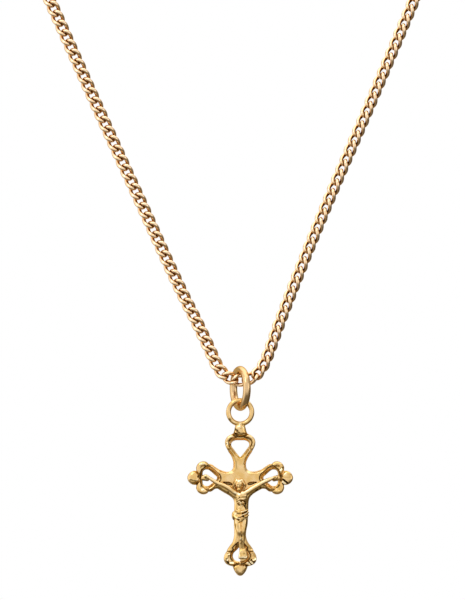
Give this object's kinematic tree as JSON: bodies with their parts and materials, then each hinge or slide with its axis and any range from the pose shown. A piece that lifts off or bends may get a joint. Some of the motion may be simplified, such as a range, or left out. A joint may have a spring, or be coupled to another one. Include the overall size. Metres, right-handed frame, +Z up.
{
  "type": "crucifix pendant on a neck chain",
  "caption": "Cast crucifix with pierced budded arms and a small draped figure, hung by a soldered loop and a turned jump ring from a fine curb neck chain.",
  "frame": {"origin": "middle of the clasp, where the chain hangs on the nape of the neck", "axes": "+Z up, -Y the wearer's front, +X to the viewer's right as the pendant is seen from the front"},
  "size_m": [0.1151, 0.1087, 0.1673],
  "materials": {
    "cast_gold": "polished gold plate with darker hollows",
    "ring_gold": "satin gold plate",
    "chain_gold": "polished gold plate"
  },
  "bodies": {
    "chain": {"chain_front": "chain_gold", "chain_back": "chain_gold", "clasp": "chain_gold"},
    "ring": {"jump_ring": "ring_gold"},
    "pendant": {"crucifix": "cast_gold"}
  },
  "joints": [
    {"name": "ring_swing", "type": "hinge", "parent": "chain", "child": "ring", "pos_m": [0, -0.105, -0.135], "axis": [1, 0, 0], "range_deg": [-80, 80]},
    {"name": "pendant_swing", "type": "hinge", "parent": "ring", "child": "pendant", "pos_m": [0, -0.105, -0.13903], "axis": [0.3584, -0.9336, 0], "range_deg": [-60, 60]}
  ]
}
